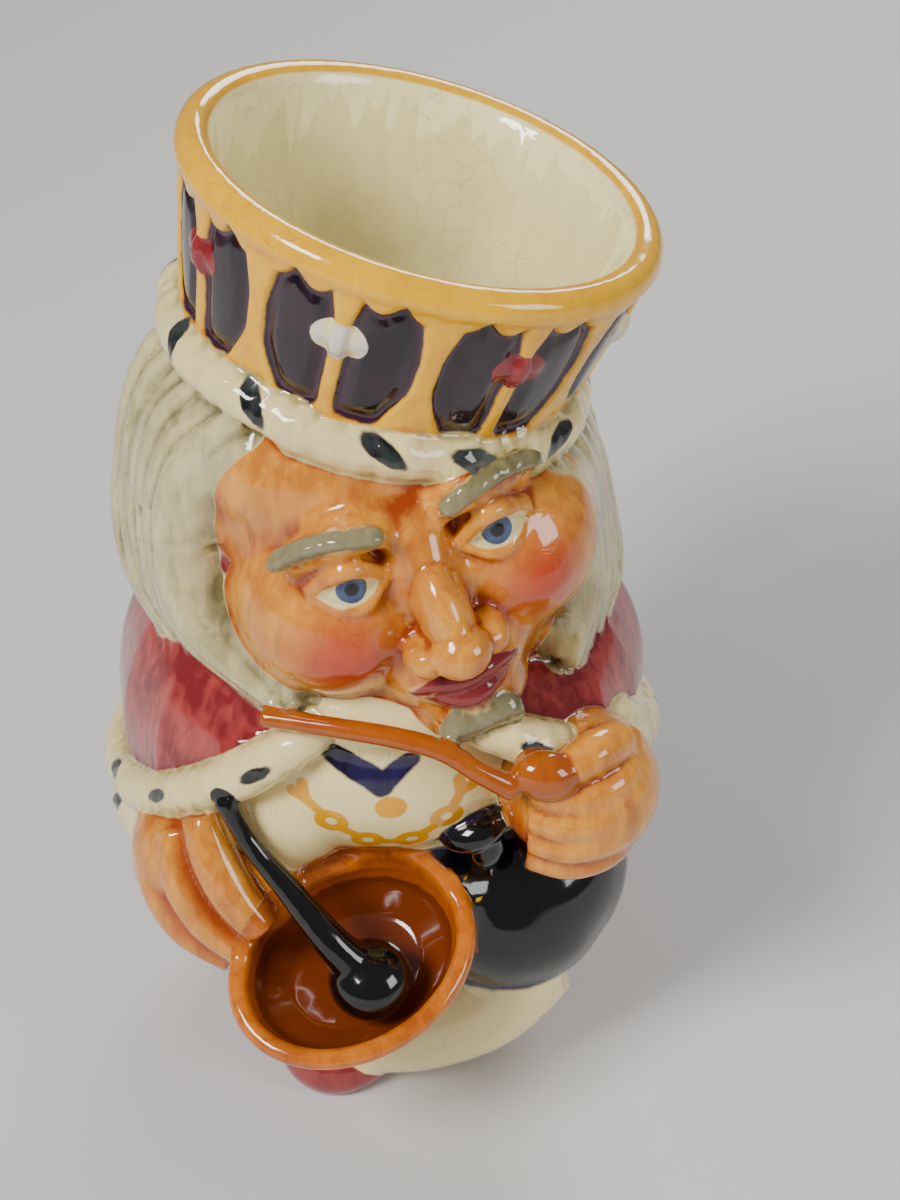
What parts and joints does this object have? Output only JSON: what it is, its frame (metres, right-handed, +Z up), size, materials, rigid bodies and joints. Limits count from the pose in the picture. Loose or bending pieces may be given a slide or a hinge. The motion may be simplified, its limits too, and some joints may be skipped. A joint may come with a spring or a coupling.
{
  "type": "figural tankard",
  "caption": "Hollow glazed tankard shaped as a seated king with a dish and a ladle; the leaning crown is its open mouth, with a plain strap handle behind.",
  "frame": {"origin": "middle of the ground flat foot, on the surface it stands on", "axes": "+Z up, the figure faces -Y, the handle is at +Y, and +X is to the right of someone facing the figure"},
  "size_m": [0.0903, 0.1232, 0.1601],
  "materials": {
    "tankard": "Slip-cast earthenware, hand-painted under a clear, glossy, finely crazed glaze"
  },
  "bodies": {
    "root": {"tankard": "tankard"}
  },
  "joints": []
}
